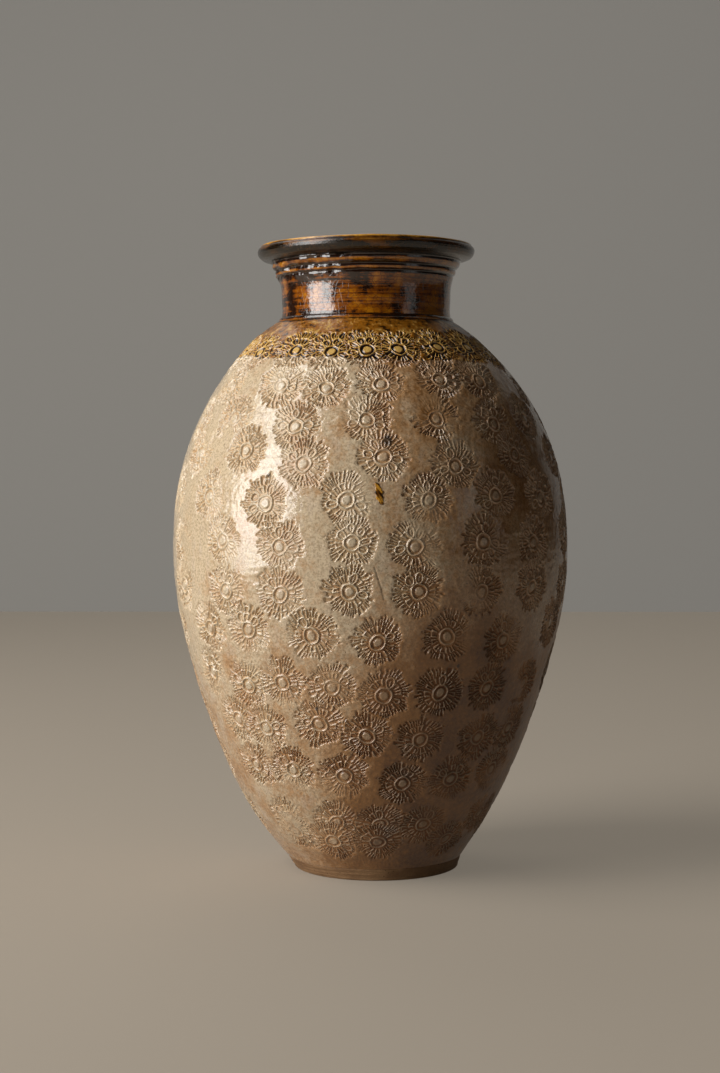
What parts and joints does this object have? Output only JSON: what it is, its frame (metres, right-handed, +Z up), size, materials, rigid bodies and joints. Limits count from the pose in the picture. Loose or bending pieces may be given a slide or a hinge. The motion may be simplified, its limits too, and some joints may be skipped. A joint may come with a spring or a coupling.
{
  "type": "martaban storage jar",
  "caption": "Tall stoneware storage jar with a rolled lip, short neck and swelling body on a narrow foot, stamped with rows of rosettes and glazed at the top.",
  "frame": {"origin": "centre of the foot, on the surface that the jar stands on", "axes": "+Z up along the jar's axis of rotation; -Y is the side that the picture shows"},
  "size_m": [0.2919, 0.292, 0.46],
  "materials": {
    "stoneware": "buff-brown stoneware with a thin pale slip, matt to semi-gloss",
    "amber_glaze": "glossy amber-brown runny glaze"
  },
  "bodies": {
    "root": {"base_disc": "stoneware", "lower_wall": "stoneware", "belly_wall": "stoneware", "shoulder_wall": "stoneware", "neck_cordon": "amber_glaze", "neck_collar": "amber_glaze", "lip_coil": "amber_glaze", "glaze_drip": "amber_glaze"}
  },
  "joints": []
}
